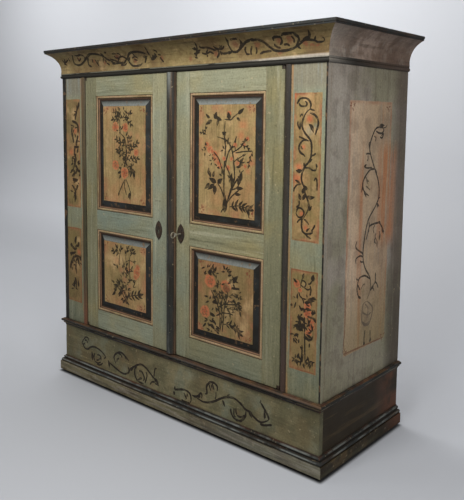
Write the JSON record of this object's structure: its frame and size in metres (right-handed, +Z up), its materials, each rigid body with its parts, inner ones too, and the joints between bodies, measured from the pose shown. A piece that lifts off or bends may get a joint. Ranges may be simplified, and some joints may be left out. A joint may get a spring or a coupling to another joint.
{
  "type": "painted two-door cupboard",
  "caption": "Free-standing painted wooden cupboard with a plinth, a coved cornice and two framed doors that swing on pivots, with a key lock and shelves.",
  "frame": {"origin": "on the floor, under the middle of the whole cupboard's box", "axes": "+X to the right seen from the front, +Y from the doors to the back, +Z up"},
  "size_m": [1.932, 0.791, 1.91],
  "materials": {
    "sage_paint": "worn grey-green paint",
    "dark_paint": "worn dark paint",
    "panel_paint": "ochre painted panel",
    "moulding_paint": "tan-pink paint",
    "frieze_paint": "olive-ochre paint",
    "plinth_paint": "dark olive paint",
    "side_paint": "faded grey-brown paint",
    "bare_wood": "old bare softwood",
    "iron": "rusty wrought iron"
  },
  "bodies": {
    "carcass": {"back_boards": "bare_wood", "base_moulding_front": "dark_paint", "base_moulding_left": "dark_paint", "base_moulding_right": "dark_paint", "corner_block_feet": "bare_wood", "cornice_cap_front": "dark_paint", "cornice_cap_left": "dark_paint", "cornice_cap_right": "dark_paint", "floor_boards": "bare_wood", "floor_cleats": "bare_wood", "frieze_moulding_front": "frieze_paint", "frieze_moulding_left": "frieze_paint", "frieze_moulding_right": "frieze_paint", "head_rail": "bare_wood", "left_jamb_bead": "dark_paint", "left_pilaster": "sage_paint", "left_side": "side_paint", "pivot_sockets": "iron", "plinth_back": "bare_wood", "plinth_front": "plinth_paint", "plinth_left_side": "plinth_paint", "plinth_right_side": "plinth_paint", "rear_top_rail": "bare_wood", "right_jamb_bead": "dark_paint", "right_pilaster": "sage_paint", "right_side": "side_paint", "shelf_cleats": "bare_wood", "shelves": "bare_wood", "top_boards": "bare_wood", "waist_moulding_front": "dark_paint", "waist_moulding_left": "dark_paint", "waist_moulding_right": "dark_paint"},
    "left_door": {"left_door_bottom_rail": "sage_paint", "left_door_hinge_stile": "sage_paint", "left_door_lock_rail": "sage_paint", "left_door_lower_panel": "panel_paint", "left_door_meeting_stile": "sage_paint", "left_door_panel_mouldings": "moulding_paint", "left_door_pivots": "iron", "left_door_top_rail": "sage_paint", "left_door_upper_panel": "panel_paint", "left_escutcheon": "iron", "bolt_keeper": "iron", "slide_bolt_plate": "iron"},
    "right_door": {"right_door_bottom_rail": "sage_paint", "right_door_hinge_stile": "sage_paint", "right_door_lock_rail": "sage_paint", "right_door_lower_panel": "panel_paint", "right_door_meeting_stile": "sage_paint", "right_door_panel_mouldings": "moulding_paint", "right_door_pivots": "iron", "right_door_top_rail": "sage_paint", "right_door_upper_panel": "panel_paint", "cover_strip": "dark_paint", "right_escutcheon": "iron", "lock_case": "iron"},
    "key": {"key": "iron"},
    "lock_bolt": {"lock_bolt": "iron"},
    "slide_bolt": {"slide_bolt": "iron"}
  },
  "joints": [
    {"name": "left_door_swing", "type": "hinge", "parent": "carcass", "child": "left_door", "pos_m": [-0.673, -0.3115, 0.327], "axis": [0, 0, -1], "range_deg": [0, 95]},
    {"name": "right_door_swing", "type": "hinge", "parent": "carcass", "child": "right_door", "pos_m": [0.673, -0.3115, 0.327], "axis": [0, 0, 1], "range_deg": [0, 95]},
    {"name": "key_turn", "type": "hinge", "parent": "right_door", "child": "key", "pos_m": [0.072, -0.3195, 0.955], "axis": [0, 1, 0], "range_deg": [0, 90]},
    {"name": "lock_bolt_slide", "type": "slide", "parent": "right_door", "child": "lock_bolt", "axis": [-1, 0, 0], "range_m": [0, 0.014]},
    {"name": "slide_bolt_lift", "type": "slide", "parent": "left_door", "child": "slide_bolt", "axis": [0, 0, 1], "range_m": [0, 0.018]}
  ],
  "couplings": [
    {"joint": "key_turn", "follows": "lock_bolt_slide", "rad_per_m": 112.19}
  ]
}
